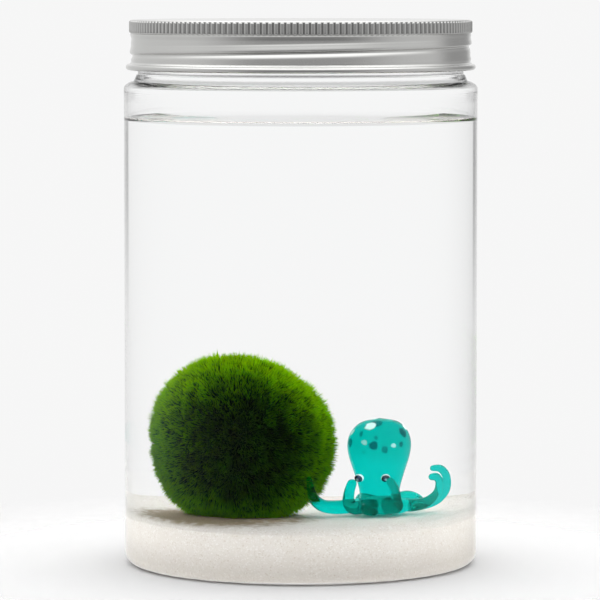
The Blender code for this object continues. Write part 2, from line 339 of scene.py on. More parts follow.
jarLook = {
    "around": 192,
    "radius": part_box("jar")[1].x / mm,
    "top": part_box("jar")[1].z / mm,
    "wall": 0.8,
    "footRadius": 39.8,
    "footInner": 35.0,
    "footRecess": 0.8,
    "footSlope": 1.4,
    "heelHeight": 2.7,
    "floorTop": 1.6,
    "pushUp": 35.6,  # radius of the raised middle of the bottom
    "pushUpSlope": 1.6,
    "shoulderLow": 114.3,
    "shoulderHigh": 116.2,
    "ringRadius": 39.6,
    "ringTop": 117.3,
    "neckRadius": 39.1,
    "neckBore": 38.0,
    "neckBend": 0.9,  # radius inside, from the shoulder up into the neck
    "rimEdges": (0.4, 0.3),  # outer and inner
    "plasticIor": 1.575,
    # above the water: heights where the index changes, in small steps up to the one that looks
    # right for the neck, and how rough the wall is there
    "dryWall": (
        (111.6, 1.48, 0.0), (112.0, 1.39, 0.0), (112.4, 1.30, 0.0), (112.8, 1.22, 0.0),
        (113.2, 1.15, 0.05), (113.6, 1.07, 0.11)),
    # painted dark rings in the neck, standing in for shade and reflections seen in the clear plastic:
    # height, half width, strength
    "rings": ((119.1, 0.15, 0.36), (118.2, 0.2, 0.45), (116.4, 0.5, 0.34), (115.1, 0.25, 0.06)),
    "waterIor": 1.333,
    "tint": (0.998, 1.0, 1.0),
    "gloss": (0.08, 0.08, 0.08),  # share of the reflections seen head on
}
jarInner = jarLook["radius"] - jarLook["wall"]
thread = {
    "Lead": 4.6 * mm,
    "Front Height": 123.6 * mm,
    "Low": 120.8 * mm,
    "High": 126.9 * mm,
    "Fade": 0.9 * mm,
    # the swelling above a groove: its crest, its widths below and above, and where it ends
    "Swell Crest": 0.30 * mm,
    "Swell Lower": 0.36 * mm,
    "Swell Upper": 1.30 * mm,
    "Swell Fade": 1.7 * mm,
    "Swell End": 2.3 * mm,
}
neckThread = {
    **thread,
    "Depth": 0.6 * mm,
    "Width": 0.75 * mm,
    "Upper Width": 0.75 * mm,
    "Swell": 0.0,
    "Shift": 0.5,
    "Inner Wall": 39.0 * mm,
    "Outer Wall": 39.2 * mm,
}
waterLook = {
    "level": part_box("water")[1].z / mm,
    "creep": 1.2,  # how far the edge climbs the wall
    "creepWidth": 2.2,
    "creepReach": 12.0,
    "creepRows": 24,
    "clearance": 0.02,
}


def makeThreadTree(sizes):
    # moves the points of a turned wall in or out along a helix
    board, inputs = newGeometryTree("rolledThread", sizes)
    x, y, z = board.add("GeometryNodeInputPosition").split()
    flat = board.vector(x, y)
    radius = flat.length()
    turns = y.work("ARCTAN2", x) / math.tau + 0.25
    lead = inputs["Lead"]
    crest = inputs["Front Height"] + lead * (turns + inputs["Shift"])
    away = (z - crest + lead * 0.5).work("FLOORED_MODULO", lead) - lead * 0.5
    width = between(inputs["Width"], inputs["Upper Width"], away.work("GREATER_THAN", 0.0))
    hollow = (-((away / width) ** 2.0)).work("EXPONENT")
    # above the groove a long slope swells out and turns in sharply at its lower side
    above = away - inputs["Swell Crest"]
    width = between(inputs["Swell Lower"], inputs["Swell Upper"], above.work("GREATER_THAN", 0.0))
    swell = (-((above / width) ** 2.0)).work("EXPONENT")
    swell = swell * (1.0 - away.within(inputs["Swell Fade"], inputs["Swell End"]))
    rise = z.within(inputs["Low"], inputs["Low"] + inputs["Fade"])
    fall = 1.0 - z.within(inputs["High"] - inputs["Fade"], inputs["High"])
    depth = (inputs["Depth"] * hollow + inputs["Swell"] * swell) * rise * fall
    onWall = (radius.work("GREATER_THAN", inputs["Inner Wall"])
              * radius.work("LESS_THAN", inputs["Outer Wall"]))
    moved = board.add("GeometryNodeSetPosition", {}, {
        "Geometry": inputs["Geometry"], "Selection": onWall, "Offset": flat.work("NORMALIZE") * depth})
    return endGeometryTree(board, moved, inputs["Material"], onWall)


def makePlastic(name, ior, roughness=0.0, rings=()):
    material, board = newMaterial(name)
    tint = jarLook["tint"]
    # painted shade and reflections: dark rings tinted into the neck plastic
    for height, half, strength in rings:
        away = (board.here().split()[2] - height * mm).work("ABSOLUTE")
        ring = (1.0 - away.within(*inMetres((half * 0.4, half * 1.5)))) * strength
        tint = board.mixColor(ring, tint, (0.0, 0.0, 0.0))
    finishMaterial(board, Base_Color=tint, Roughness=roughness, Specular_Tint=jarLook["gloss"],
                   IOR=ior, Transmission_Weight=1.0)
    return material


def bottomOutline(clearance):
    # the jar's inner bottom, from its middle out to the wall, this far inside it
    look = jarLook
    low, high = look["wall"] + clearance, look["floorTop"] + clearance
    width = jarInner - look["footRadius"] - clearance
    outline = [(0, high)]
    outline += [(look["pushUp"] + look["pushUpSlope"] * t, between(high, low, t)) for t in (0, 0.5, 1)]
    return outline + arc((look["footRadius"], look["heelHeight"]), (width, look["heelHeight"] - low),
                         -90, 0, 10)


def makeJar():
    look = jarLook
    radius, top, wall = look["radius"], look["top"], look["wall"]
    heelWidth = radius - look["footRadius"]
    shoulderWidth = radius - look["ringRadius"]
    shoulderRise = look["shoulderHigh"] - look["shoulderLow"]
    step = look["ringRadius"] - look["neckRadius"]
    waterline = waterLook["level"] + waterLook["creep"]
    recess, bend = look["footRecess"], look["neckBend"]
    rimOut, rimIn = look["rimEdges"]
    outline = [(0, recess), (look["footInner"] - look["footSlope"], recess)]
    outline += arc((look["footInner"] + recess, recess), (recess, recess), 180, 270, 5)
    outline += arc((look["footRadius"], look["heelHeight"]), (heelWidth, look["heelHeight"]), -90, 0, 12)
    steps = [height for height, *step in look["dryWall"]]
    outline += ladder(radius, look["heelHeight"] + 2, steps[0] - 1, 6)
    outline += [(radius, height) for height in steps]
    outline += arc((look["ringRadius"], look["shoulderLow"]), (shoulderWidth, shoulderRise), 0, 80, 10)
    outline += arc((look["ringRadius"] - step, look["ringTop"]), (step, step), 0, 90, 4)
    outline += ladder(look["neckRadius"], look["ringTop"] + step + 0.4, top - 1.2, 56)
    outline += arc((look["neckRadius"] - rimOut, top - rimOut), (rimOut, rimOut), 0, 90, 4)
    outline += arc((look["neckBore"] + rimIn, top - rimIn), (rimIn, rimIn), 90, 180, 4)
    # the wall keeps its thickness round the shoulder
    under = look["shoulderHigh"] - wall
    outline += arc((look["neckBore"] + bend, under + bend), (bend, bend), 180, 270, 6)
    outline += arc((look["ringRadius"], look["shoulderLow"]),
                   (shoulderWidth - wall, shoulderRise - wall), 90, 0, 8)
    outline += [(jarInner, height) for height in reversed(steps)]
    wetFrom = len(outline)
    outline += [(jarInner, waterline)]
    outline += ladder(jarInner, waterline - 6, look["heelHeight"] + 2, 6)
    outline += reversed(bottomOutline(0.0))

    def slotOf(row):
        middle = (outline[row][1] + outline[row + 1][1]) / 2
        passed = sum(middle > height for height in steps)
        return 1 if row >= wetFrom else passed + min(passed, 1)

    mesh = turned("jar", outline, look["around"], slotOf)
    # where water touches the wall, light bends only by the difference between the two
    outer = makePlastic("clearPlastic", look["plasticIor"])
    wet = makePlastic("wetPlastic", look["plasticIor"] / look["waterIor"])
    dry = [makePlastic("dryPlastic", *step, look["rings"]) for height, *step in look["dryWall"]]
    piece = addPiece("clear_jar", mesh, outer, wet, *dry)
    sizes = {**neckThread, "Material": dry[-1]}
    runGeometryTree(piece, makeThreadTree(sizes), sizes)
    settle(piece, "root", "clear_plastic", "jar")


def makeWater():
    look = waterLook
    edge = jarInner - look["clearance"]
    outline = bottomOutline(look["clearance"])
    outline += ladder(edge, jarLook["heelHeight"] + 2, look["level"] - 2, 5)
    surfaceFrom = len(outline)
    outline += [(edge, look["level"] + look["creep"])]
    for i in range(look["creepRows"]):
        inward = look["creepReach"] * ((i + 1) / look["creepRows"]) ** 1.6
        climb = look["creep"] * math.exp(-inward / look["creepWidth"])
        outline.append((edge - inward, look["level"] + climb))
    outline += [(0, look["level"])]
    mesh = turned("water", outline, jarLook["around"], lambda row: int(row < surfaceFrom))
    surface, board = newMaterial("waterSurface")
    finishMaterial(board, Base_Color=(1, 1, 1), Roughness=0.0, IOR=jarLook["waterIor"],
                   Transmission_Weight=1.0)
    side, board = newMaterial("waterAgainstWall")
    finishMaterial(board, board.add("ShaderNodeBsdfTransparent"))
    settle(addPiece("clear_water", mesh, surface, side), "root", "water", "water")


lidLook = {
    "around": 240,
    "topEdge": 0.3,
    "skirtRadius": 40.75,
    "wall": 0.5,
    "knurlRoot": 40.92,
    "knurlLow": 127.8,
    "knurlEdge": 0.17,
    # under the ribs: how far out and how far down
    "ledge": ((0.06, 0.19), (0.15, 0.28), (0.17, 0.38), (0.13, 0.75), (0.04, 1.2)),
    "beadRadius": 0.72,
    "beadCentre": (41.3, 119.6),
    "beadRise": 1.15,  # from its centre up to the straight skirt
    "metal": (0.70, 0.70, 0.685),
    # the ribs' metal is darker than the skirt's: painted shade from the ribs shadowing each other
    "knurlMetalPaintedShade": (0.58, 0.58, 0.57),
    "knurlRoughness": 0.13,
    "grooveMetalPaintedShade": (0.30, 0.30, 0.295),  # between the ribs, darker as painted shade
    "roughness": 0.20,
}
lidThread = {
    **thread,
    "Depth": -0.45 * mm,
    "Width": 0.75 * mm,
    "Upper Width": 0.30 * mm,
    "Swell": 0.32 * mm,
    "Shift": 0.0,
    "Inner Wall": 40.0 * mm,
    "Outer Wall": 40.8 * mm,
}
rib = {
    "width": 0.60,  # half of it, along the band
    "height": 0.40,
    "sunk": 0.10,
    "low": 127.72,
    "high": 130.75,
    "cap": 0.5,  # rounded end
    "sides": 6,
}
knurl = {"Count": 180, "Radius": lidLook["knurlRoot"] * mm}


def makeBrushedMetal(name, metal, roughness):
    material, board = newMaterial(name)
    x, y, z = board.here().split()
    streaks = board.noise(board.vector(x * 900.0, y * 900.0, z * 14000.0), 1.0, 3.0)
    grain = board.noise(board.here(), 5000.0, 2.0)
    rough = roughness + (streaks - 0.5) * 0.10 + (grain - 0.5) * 0.08
    color = board.mixColor(streaks, tuple(0.93 * c for c in metal), metal)
    bump = board.bump(streaks + grain, 0.10, 0.03 * mm)
    finishMaterial(board, Base_Color=color, Metallic=1.0, Roughness=rough, Normal=bump)
    return material


def makeRibShape():
    # one half-round rib with rounded ends, standing on the knurl's root
    steps = (0.0, 0.3, 0.75, 1.0)
    rows = [(rib["low"] + rib["cap"] * t, math.sqrt(1 - (1 - t) ** 2)) for t in steps]
    rows += [(rib["high"] - rib["cap"] * t, math.sqrt(1 - (1 - t) ** 2)) for t in reversed(steps)]
    bm = bmesh.new()
    grid = []
    for z, share in rows:
        line = []
        for i in range(rib["sides"] + 1):
            a = math.pi * i / rib["sides"]
            outward = math.sin(a) * rib["height"] * share - rib["sunk"]
            along = -math.cos(a) * rib["width"] * max(share, 0.05)
            line.append(bm.verts.new((outward * mm, along * mm, z * mm)))
        grid.append(line)
    skin(bm, grid)
    faceOut(bm)
    return addPiece("ribShape", finishShape(bm, "ribShape", 70.0))


def makeKnurlTree(sizes):
    board, inputs = newGeometryTree("knurlRibs", sizes)
    ring = board.add("GeometryNodeMeshCircle", {}, {
        "Vertices": inputs["Count"], "Radius": inputs["Radius"]})
    x, y = board.add("GeometryNodeInputPosition").split()[:2]
    ribs = board.copies(ring, inputs["Rib"], board.vector(z=y.work("ARCTAN2", x)))
    return endGeometryTree(board, ribs, inputs["Material"])


def makeLid():
    look = lidLook
    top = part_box("lid")[1].z / mm
    root, edge, skirt = look["knurlRoot"], look["topEdge"], look["skirtRadius"]
    bore = skirt - look["wall"]
    beadR, beadZ = look["beadCentre"]
    curl, under = look["beadRadius"], look["knurlEdge"]
    outline = [(0, top), (30, top), (root - edge - 1, top)]
    outline += arc((root - edge, top - edge), (edge, edge), 90, 0, 10)
    bandRow = len(outline) - 1
    outline += [(root, look["knurlLow"] + 0.1)]
    outline += arc((root - under, look["knurlLow"]), (under, under), 0, -90, 3)
    outline += [(skirt + out, look["knurlLow"] - down) for out, down in look["ledge"]]
    outline += ladder(skirt, look["knurlLow"] - 1.5, beadZ + look["beadRise"], 60)
    outline += arc((beadR, beadZ), (curl, curl), 100, -150, 16)
    outline += ladder(bore, beadZ + 0.2, look["knurlLow"] - 0.4, 56)
    outline += [(bore, top - look["wall"]), (0, top - look["wall"])]
    metal = makeBrushedMetal("brushedAluminium", look["metal"], look["roughness"])
    # the knurl's root band between the ribs takes a darker copy of the metal: painted shade
    paintedGrooveShade = makeBrushedMetal("grooveAluminiumPaintedShade", look["grooveMetalPaintedShade"], look["roughness"])
    mesh = turned("lid", outline, look["around"], lambda row: int(row == bandRow))
    shell = addPiece("lid_shell", mesh, metal, paintedGrooveShade)
    sizes = {**lidThread, "Material": metal}
    runGeometryTree(shell, makeThreadTree(sizes), sizes)
    settle(shell, "lid", "aluminium", "lid")
    shape = makeRibShape()
    # the ribs take the darker copy of the metal, as painted shade
    ribMetalPaintedShade = makeBrushedMetal("knurledAluminiumPaintedShade", look["knurlMetalPaintedShade"], look["knurlRoughness"])
    sizes = {**knurl, "Rib": shape, "Material": ribMetalPaintedShade}
    carrier = addPiece("ribCarrier", bpy.data.meshes.new("ribCarrier"))
    ribs = runGeometryTree(carrier, makeKnurlTree(sizes), sizes, "lid_knurl")
    discard(shape, carrier)
    settle(ribs, "lid", "aluminium")


def makeLiner():
    low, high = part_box("lid_liner")
    radius = high.x / mm
    outline = [(0, low.z / mm)]
    outline += arc((radius - 0.2, low.z / mm + 0.2), (0.2, 0.2), -90, 0, 4)
    outline += arc((radius - 0.2, high.z / mm - 0.2), (0.2, 0.2), 0, 90, 4)
    outline += [(0, high.z / mm)]
    material, board = newMaterial("whiteFoam")
    cells = board.add("ShaderNodeTexVoronoi", {}, {"Vector": board.here(), "Scale": 2500.0}, "Distance")
    color = board.mixColor(cells, (0.86, 0.86, 0.84), (0.92, 0.92, 0.90))
    finishMaterial(board, Base_Color=color, Roughness=0.7, Normal=board.bump(cells, 0.3, 0.1 * mm))
    liner = addPiece("foam_liner", turned("liner", outline, 96), material)
    settle(liner, "seal", "foam", "lid_liner")


makeJar()
makeWater()
makeLid()
makeLiner()
print("jar, water and lid made")

sandClearance = 0.2
sandLook = {
    "top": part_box("sand")[1].z / mm,
    "edge": jarInner - sandClearance,
    "shoulder": 2.9,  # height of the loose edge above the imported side
    "slump": 1.5,  # how far the bed falls off at the wall
    "slumpWidth": 4.0,
    "waves": ((17, 0.35, 3.1), (3.1, 0.16, 8.7), (0.9, 0.08, 1.3)),  # length, height, noise layer
    "heap": 0.8,  # sand pushed up round the ball
    "heapAt": 10.5,
    "heapWidth": 3.5,
    "pale": (0.65, 0.622, 0.58),
    "dull": (0.56, 0.51, 0.45),
    "clear": (0.73, 0.715, 0.69),
    "paintedTopShade": (0.92, 0.925, 0.94),  # painted shade: the top is a little darker than the bed's shoulder
    "paintedTopShadeFrom": (11.0, 13.4),
    "paintedFootShade": (0.60, 0.585, 0.57),  # painted shade: how much darker the sand is at the jar's foot
    "paintedFootShadeUpTo": (-1.5, 10.5),
    "dustAndShadow": (0.20, 0.145, 0.07),  # brown moss dust and painted shadow under the ball
    "dustAndShadowReach": (14.0, 23.5),
    "dustAndShadowShift": 4.0,  # to the left of the ball, where its painted shadow falls
    "dustAndShadowFrom": (12.2, 13.2),
    "grain": 0.13,
    "topGrains": 15000,
    "sideGrains": 9000,
    "seed": 7,
}
ballPlace = tuple(c / mm for c in (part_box("marimo")[0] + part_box("marimo")[1]) / 2)


def sandHeight(x, y):
    # the bed's surface: broad low mounds and small ripples, a slump at the wall, a heap at the ball
    look = sandLook
    waves = sum(noise.noise(Vector((x / length, y / length, layer))) * rise
                for length, rise, layer in look["waves"])
    slump = max(math.hypot(x, y) - look["edge"] + look["slumpWidth"], 0.0) / look["slumpWidth"]
    fromBall = math.hypot(x - ballPlace[0], y - ballPlace[1])
    heap = look["heap"] * math.exp(-(((fromBall - look["heapAt"]) / look["heapWidth"]) ** 2))
    return look["top"] - look["waves"][0][1] + waves + heap - look["slump"] * slump ** 2


def makeSandMaterial():
    look = sandLook
    material, board = newMaterial("whiteSand")
    place = board.here()
    cells = {"Vector": place, "Scale": 3600.0}
    tone = board.add("ShaderNodeSeparateColor", {}, {
        "Color": board.add("ShaderNodeTexVoronoi", {}, cells, "Color")})
    color = board.ramp(tone, (
        (0.0, look["dull"]), (0.10, look["pale"]), (0.75, look["pale"]), (1.0, look["clear"])))
    drift = board.noise(place, 160.0, 3.0)
    color = board.mixColor(drift.within(0.35, 0.75) * 0.15, color, look["dull"])
    height = place.split()[2]
    # painted shade: the sand gets darker towards the jar's foot
    shade = board.mixColor(height.within(*inMetres(look["paintedFootShadeUpTo"])), look["paintedFootShade"], (1, 1, 1))
    # painted shade: the top of the bed is a little darker
    color = color * board.mixColor(height.within(*inMetres(look["paintedTopShadeFrom"])), shade, look["paintedTopShade"])
    # painted shadow of the ball, brown with moss dust, on the top of the bed and reaching further to its
    # left
    x, y = (place - inMetres(ballPlace)).split()[:2]
    ragged = (board.noise(place, 450.0, 4.0) - 0.5) * 0.014
    reach = board.vector(x + look["dustAndShadowShift"] * mm, y).length() + ragged
    dustAndShadow = (1.0 - reach.within(*inMetres(look["dustAndShadowReach"]))) * 0.85
    dustAndShadow = dustAndShadow * height.within(*inMetres(look["dustAndShadowFrom"]))
    color = board.mixColor(dustAndShadow, color, look["dustAndShadow"])
    grains = board.add("ShaderNodeTexVoronoi", {}, cells, "Distance")
    bump = board.bump(grains, 0.35, 0.1 * mm, invert=True)
    finishMaterial(board, Base_Color=color, Roughness=0.8, Specular_IOR_Level=0.2, Normal=bump)
    return material


def makeGrainShape():
    # a worn grain about 1 across: an octahedron pulled out of true
    tips = [(0.55, 0.05, 0), (-0.5, 0, 0.06), (0.04, 0.42, 0), (0, -0.46, 0.05), (0, 0.06, 0.4),
            (0.03, 0, -0.38)]
    bm = bmesh.new()
    bmesh.ops.convex_hull(bm, input=[bm.verts.new(tip) for tip in tips])
    faceOut(bm)
    return addPiece("grainShape", finishShape(bm, "grainShape", 20.0))


def makeGrainTree(sizes):
    # loose grains on the bed, either on its top or against the wall
    board, inputs = newGeometryTree("looseGrains", sizes)
    up = board.add("GeometryNodeInputNormal").split()[2]
    chosen = (up - inputs["Up From"]) * (inputs["Up To"] - up)
    points = board.add("GeometryNodeDistributePointsOnFaces", {"distribute_method": "RANDOM"}, {
        "Mesh": inputs["Geometry"], "Selection": chosen.work("GREATER_THAN", 0.0),
        "Density": inputs["Density"], "Seed": inputs["Seed"]})
    turn = board.random((0, 0, 0), (math.tau,) * 3, inputs["Seed"])
    size = board.random(0.6, 1.4, inputs["Seed"])
    grains = board.copies(points, inputs["Grain"], turn, size * inputs["Size"])
    return endGeometryTree(board, grains, inputs["Material"])


def makeSand():
    look = sandLook
    material = makeSandMaterial()
    outline = bottomOutline(sandClearance)
    outline += ladder(look["edge"], jarLook["heelHeight"] + 1, look["top"] - look["shoulder"], 8)
    rings = 62
    outline += [(look["edge"] * (1 - i / rings), look["top"]) for i in range(rings + 1)]
    mesh = turned("sand", outline, 176, sharp=60.0)
    for vert in mesh.vertices:
        x, y, z = vert.co / mm
        if z > look["top"] - 0.1:
            vert.co.z = sandHeight(x, y) * mm
    bed = addPiece("sand_bed", mesh, material)
    shape = makeGrainShape()
    parts = (("top", math.pi * (look["edge"] * mm) ** 2, 0.5, 1.1),
             ("side", math.tau * look["edge"] * look["top"] * mm ** 2, -0.5, 0.5))
    loose = []
    for i, (part, area, low, high) in enumerate(parts):
        sizes = {"Density": look[part + "Grains"] / area, "Size": look["grain"] * mm, "Up From": low,
                 "Up To": high, "Seed": look["seed"] + i, "Grain": shape, "Material": material}
        loose.append(runGeometryTree(bed, makeGrainTree(sizes), sizes, "sand_grains_" + part))
    discard(shape)
    settle(bed, "root", "sand", "sand")
    for grains in loose:
        settle(grains, "root", "sand")


makeSand()
print("sand laid")


mossLook = {
    "radius": 16.9,  # of the dense heart
    "swell": 0.05,  # broad unevenness, as a share of the radius
    "tufts": 0.10,
    "settled": 0.12,  # how much fuller the ball is below, from its own weight
    "bulges": (  # (direction, share of the radius)
        ((0.77, 0.0, 0.64), -0.045),
        ((-0.97, 0.0, -0.26), 0.045),
        ((1.0, 0.0, -0.1), 0.02),
        ((-0.2, 0.0, 0.98), 0.03)),
    "patches": 2,  # pieces in each coat
    # short dark fibres close to the heart, and long bright ones that stand out from it
    "under": {"each": 29000, "length": 1.9, "thickness": 0.078, "bright": 0.50,
              "lean": 0.8, "stray": 0.35},
    "outer": {"each": 24000, "length": 3.1, "thickness": 0.095, "bright": 1.0,
              "lean": 0.50, "stray": 0.24},
    "deep": (0.0022, 0.022, 0.0003),
    "mid": (0.004, 0.046, 0.0005),
    "tip": (0.08, 0.40, 0.002),
    "glow": (0.84, 1.0, 0.008),
    "brightFrom": 0.25,  # share of a fibre's length where its bright tip begins
    "brightTo": 0.80,
    "frontShade": 0.095,  # painted shade: how dark the ball's front is, and where it brightens
    "paintedLightFrom": (-19.5, -6.0),
    "paintedLightHighFrom": (-8.0, 16.0),
    "heart": (0.0008, 0.008, 0.0002),
    "widest": 0.60,  # where a fibre is thickest, as a share of its length
    "seed": 11,
}


def makeMossMaterials():
    look = mossLook
    material, board = newMaterial("mossFibre")
    place = board.here()
    drift = board.noise(place, 240.0, 3.0)
    # painted shade: the ball is deeper green low down and on its front, the side turned from the light
    y, z = (place - inMetres(ballPlace)).split()[1:]
    paintedLight = (y + (drift - 0.5) * 0.012).within(*inMetres(look["paintedLightFrom"]))
    high = z.within(*inMetres(look["paintedLightHighFrom"]))
    shade = between(look["frontShade"], 1.0, paintedLight) * between(0.5, 1.0, high)
    along = board.add("ShaderNodeAttribute", {"attribute_name": "alongFibre"}, {}, "Fac")
    # the painted shade also dims the bright tips and their glow at the front and low down
    along = along.within(look["brightFrom"], look["brightTo"]) * shade
    inner = board.mixColor(drift.within(0.35, 0.65), look["deep"], look["mid"])
    solid = board.principled(Base_Color=board.mixColor(along, inner, look["tip"]),
                             Roughness=0.7, Specular_IOR_Level=0.05)
    glow = board.add("ShaderNodeBsdfTranslucent", {}, {"Color": look["glow"]})
    finishMaterial(board, board.mixShader(0.03 + along * 0.90, solid, glow))
    heart, board = newMaterial("mossHeart")
    spots = board.noise(board.here(), 900.0, 4.0)
    color = board.mixColor(spots.within(0.35, 0.7), look["heart"], look["deep"])
    finishMaterial(board, Base_Color=color, Roughness=0.95, Specular_IOR_Level=0.05,
                   Normal=board.bump(spots, 0.8, 0.4 * mm))
    return material, heart


def makeFibreShape(thick, bright):
    # a three-sided fibre, 1 long and pointed at both ends, with a mark that rises to its tip
    bm = bmesh.new()
    belt = [bm.verts.new((thick * math.cos(a), thick * math.sin(a), mossLook["widest"]))
            for a in (0, math.tau / 3, 2 * math.tau / 3)]
    foot, tip = bm.verts.new((0, 0, 0)), bm.verts.new((0, 0, 1))
    for i in range(3):
        bm.faces.new((belt[i], belt[(i + 1) % 3], tip))
        bm.faces.new((belt[(i + 1) % 3], belt[i], foot))
    faceOut(bm)
    mesh = bpy.data.meshes.new("fibreShape")
    bm.to_mesh(mesh)
    bm.free()
    mark = mesh.attributes.new("alongFibre", "FLOAT", "POINT")
    for vert in mesh.vertices:
        mark.data[vert.index].value = vert.co.z * bright
    return addPiece("fibreShape", mesh)


def makeHeartTree(sizes):
    # the ball itself: round, with broad swellings and small tufts, flat where it rests
    board, inputs = newGeometryTree("mossHeart", sizes)
    ball = board.add("GeometryNodeMeshIcoSphere", {}, {"Radius": 1.0, "Subdivisions": inputs["Detail"]})
    direction = board.add("GeometryNodeInputPosition").work("NORMALIZE")
    swell = (board.noise(direction, 1.6, 1.0) - 0.5) * inputs["Swell"]
    tufts = (board.noise(direction, 6.5, 2.0) - 0.5) * inputs["Tufts"]
    share = 1.0 + swell + tufts
    lower = 1.0 - direction.split()[2].within(-0.85, -0.15)
    share = share + lower * inputs["Settled"]
    for toward, amount in mossLook["bulges"]:
        share = share + direction.work("DOT_PRODUCT", toward, out=1).within(0.45, 1.0) * amount
    place = direction * (inputs["Radius"] * share) + inputs["Centre"]
    x, y, z = place.split()
    rested = board.vector(x, y, z.work("MAXIMUM", inputs["Ground"]))
    shaped = board.add("GeometryNodeSetPosition", {}, {"Geometry": ball, "Position": rested})
    return endGeometryTree(board, shaped, inputs["Material"])


def makeFibreTree(sizes):
    # fibres over a skin: they stand out from it, lean together in tufts and differ in length
    board, inputs = newGeometryTree("mossFibres", sizes)
    seed = inputs["Seed"]
    points = board.add("GeometryNodeDistributePointsOnFaces", {"distribute_method": "RANDOM"}, {
        "Mesh": inputs["Geometry"], "Density": inputs["Density"], "Seed": seed})
    normal = Wire(board, points.socket.node.outputs["Normal"])
    place = board.add("GeometryNodeInputPosition")
    tufts = board.noise(place, inputs["Tuft Scale"], 2.0, out="Color")
    stray = board.random((-1, -1, -1), (1, 1, 1), seed)
    clump = board.noise(place, inputs["Tuft Scale"] * 0.6, 1.0)
    length = inputs["Length"] * board.random(0.45, 1.0, seed + 1) * (0.45 + clump * 1.1)
    heading = (normal + (tufts - 0.5) * inputs["Tuft Lean"] + stray * inputs["Stray"]).work("NORMALIZE")
    x, y, z = heading.split()
    # a fibre near the sand spreads along it and doesn't go into it
    room = (inputs["Ground"] - place.split()[2]) / length
    heading = board.vector(x, y, z.work("MAXIMUM", room))
    stand = board.add("FunctionNodeAlignEulerToVector", {"axis": "Z"}, {"Vector": heading})
    return endGeometryTree(board, board.copies(points, inputs["Fibre"], stand, length), inputs["Material"])


def makeMoss():
    look = mossLook
    fibreMaterial, heartMaterial = makeMossMaterials()
    ground = (sandLook["top"] + 0.3) * mm
    carrier = addPiece("mossCarrier", bpy.data.meshes.new("mossCarrier"))
    sizes = {"Radius": look["radius"] * mm, "Centre": inMetres(ballPlace), "Detail": 6,
             "Swell": look["swell"], "Tufts": look["tufts"], "Settled": look["settled"],
             "Ground": ground, "Material": heartMaterial}
    heart = runGeometryTree(carrier, makeHeartTree(sizes), sizes, "marimo_heart")
    heart.data.shade_smooth()
    carrier.data = heart.data
    area = 4 * math.pi * (look["radius"] * mm) ** 2
    settle(heart, "root", "moss", "marimo")
    for layer in ("under", "outer"):
        coat = look[layer]
        fibre = makeFibreShape(coat["thickness"] / coat["length"], coat["bright"])
        count = coat["each"]
        sizes = {"Density": count / area, "Length": coat["length"] * mm, "Tuft Scale": 520.0,
                 "Tuft Lean": coat["lean"], "Stray": coat["stray"], "Ground": ground, "Seed": 0,
                 "Fibre": fibre, "Material": fibreMaterial}
        board = makeFibreTree(sizes)
        for i in range(look["patches"]):
            sizes["Seed"] = look["seed"] + 10 * i + len(layer)
            name = f"marimo_{layer}_fibres_{i + 1}"
            settle(runGeometryTree(carrier, board, sizes, name), "root", "moss")
        discard(fibre)
    discard(carrier)


makeMoss()
print("moss ball grown")


octopusLook = {
    "headPlace": (15.3, -9.0),
    "headOutline": (
        (3.3, 14.4), (3.8, 16.4), (4.0, 19.2), (4.5, 21.6), (5.25, 24.4),
        (6.0, 27.2), (6.35, 29.8), (6.1, 32.0), (5.2, 34.0), (3.4, 35.7), (0.0, 36.5)),
    "webCentre": (16.2, -9.6, 15.4),
    "webRadii": (5.6, 5.8, 2.6),
    "armSides": 20,
    "melt": 0.17,  # fineness of the fused glass skin
    "glass": (0.0, 0.60, 0.54),
    "deepGlass": (0.0, 0.50, 0.43),  # thicker glass in the upper head
    "deepFrom": (24.0, 31.0),
    "ior": 1.125,  # glass against water
    "darkSpot": (0.0, 0.05, 0.055),
    "whiteSpot": (0.58, 0.80, 0.78),
    # spots on the head's front: x, z, radius, strength
    "darkSpots": (
        (12.1, 33.1, 0.55, 0.8), (14.9, 35.5, 1.25, 0.9), (9.7, 30.9, 1.0, 0.9), (14.6, 30.4, 0.95, 1.0),
        (17.0, 29.4, 0.75, 0.8), (20.2, 30.5, 0.65, 0.9), (20.3, 33.2, 1.1, 1.0), (15.2, 32.3, 0.45, 0.6),
        (12.6, 28.9, 0.4, 0.4)),
    "whiteSpots": (
        (13.9, 34.9, 1.05, 0.9), (14.1, 36.3, 0.9, 0.6), (20.4, 34.1, 0.7, 0.9), (10.1, 33.3, 0.7, 0.7),
        (12.7, 31.1, 0.6, 0.4), (18.8, 30.3, 0.55, 0.4)),
}
